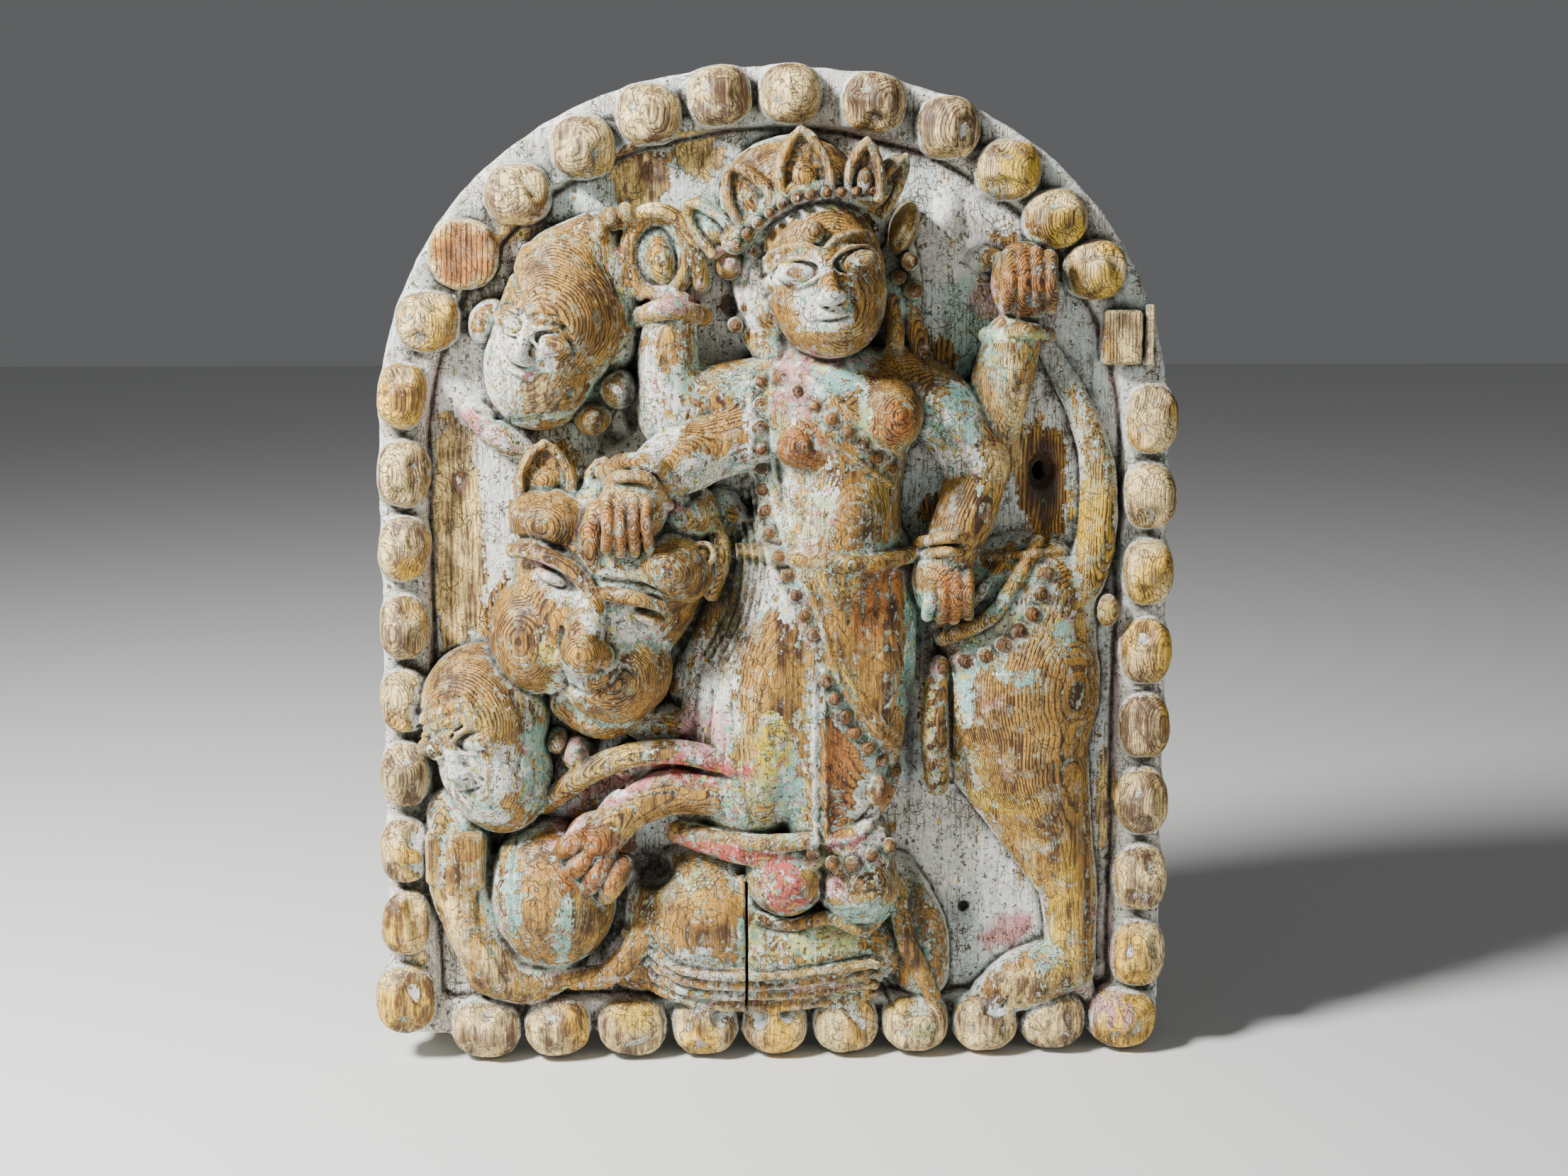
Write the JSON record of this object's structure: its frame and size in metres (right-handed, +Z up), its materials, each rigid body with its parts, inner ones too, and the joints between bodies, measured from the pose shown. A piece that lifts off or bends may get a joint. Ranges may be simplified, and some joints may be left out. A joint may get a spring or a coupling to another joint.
{
  "type": "carved wooden relief panel",
  "caption": "Arched wooden wall panel with a border of round bosses and high-relief carving of a crowned standing figure, heads, a lying animal and a lion's haunch.",
  "frame": {"origin": "centre of the flat back face, half way across the board and half way up it", "axes": "+Z up along the panel, +X to the right seen from the front, +Y out of the flat back face, so the carving faces -Y"},
  "size_m": [0.3811, 0.097, 0.4691],
  "materials": {
    "painted_wood": "weathered, with worn chalk-white, aqua, pink and yellow paint"
  },
  "bodies": {
    "root": {"carved_panel": "painted_wood"}
  },
  "joints": []
}
